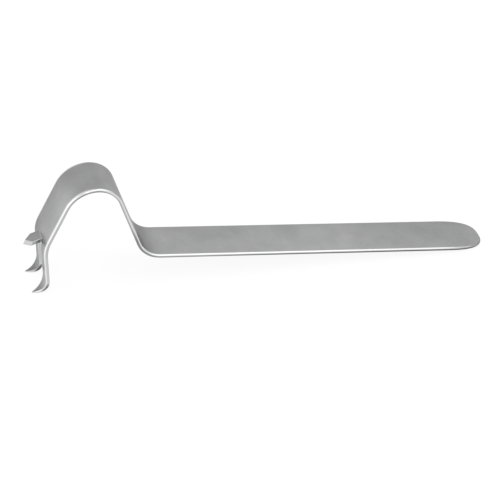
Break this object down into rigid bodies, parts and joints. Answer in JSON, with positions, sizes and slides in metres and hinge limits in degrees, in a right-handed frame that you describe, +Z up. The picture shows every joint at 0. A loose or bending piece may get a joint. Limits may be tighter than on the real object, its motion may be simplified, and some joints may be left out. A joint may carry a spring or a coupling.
{
  "type": "handheld surgical retractor",
  "caption": "One-piece hand-held retractor: a flat steel strip with a rounded handle end, a bent hump, and a forked end with sharp curved claws and a pointed middle tab.",
  "frame": {"origin": "centre of the footprint, on the surface the retractor lies on: the bounding box's bottom centre", "axes": "+X along the strip towards the rounded end of the handle, +Y across the strip, +Z up; it rests on the claw tips and the handle's rounded end"},
  "size_m": [0.2412, 0.025, 0.0594],
  "materials": {
    "steel": "satin, bead-blasted faces with polished rounded edges"
  },
  "bodies": {
    "root": {"retractor_body": "steel"}
  },
  "joints": []
}
